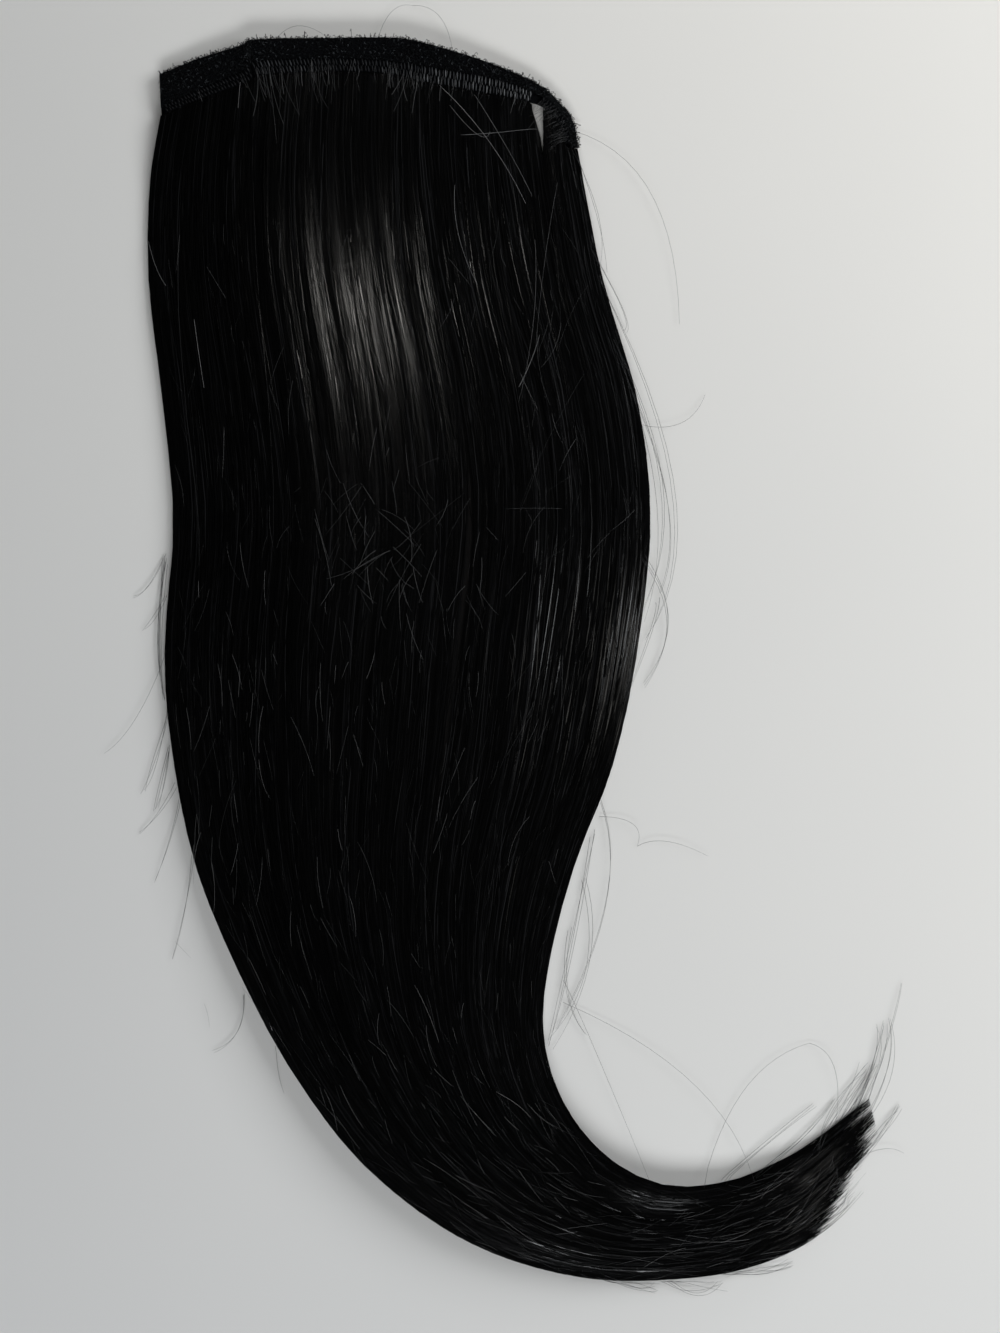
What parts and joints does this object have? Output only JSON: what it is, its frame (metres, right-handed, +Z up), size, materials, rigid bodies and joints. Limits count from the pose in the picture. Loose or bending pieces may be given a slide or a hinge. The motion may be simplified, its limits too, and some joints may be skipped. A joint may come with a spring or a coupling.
{
  "type": "ponytail hairpiece",
  "caption": "Straight black wrap-around ponytail hairpiece, laid open and flat: a loop tape band with sewn hair tracks and a long fall of hair that curls to one side at its tail",
  "frame": {"origin": "middle of the bounding box in X and Y, at the surface it lies on", "axes": "+Z up out of the table, +Y from the tail towards the band, +X towards the side that the tail curls to"},
  "size_m": [0.2758, 0.4796, 0.0204],
  "materials": {
    "loop_tape": "fuzzy loop pile",
    "sewn_track": "ribbed stitching",
    "hair": "straight glossy strands"
  },
  "bodies": {
    "root": {"loop_band": "loop_tape", "weft_seam_left": "sewn_track", "weft_seam_middle": "sewn_track", "weft_seam_end": "sewn_track", "hair_main": "hair", "hair_left": "hair", "hair_end": "hair"}
  },
  "joints": []
}
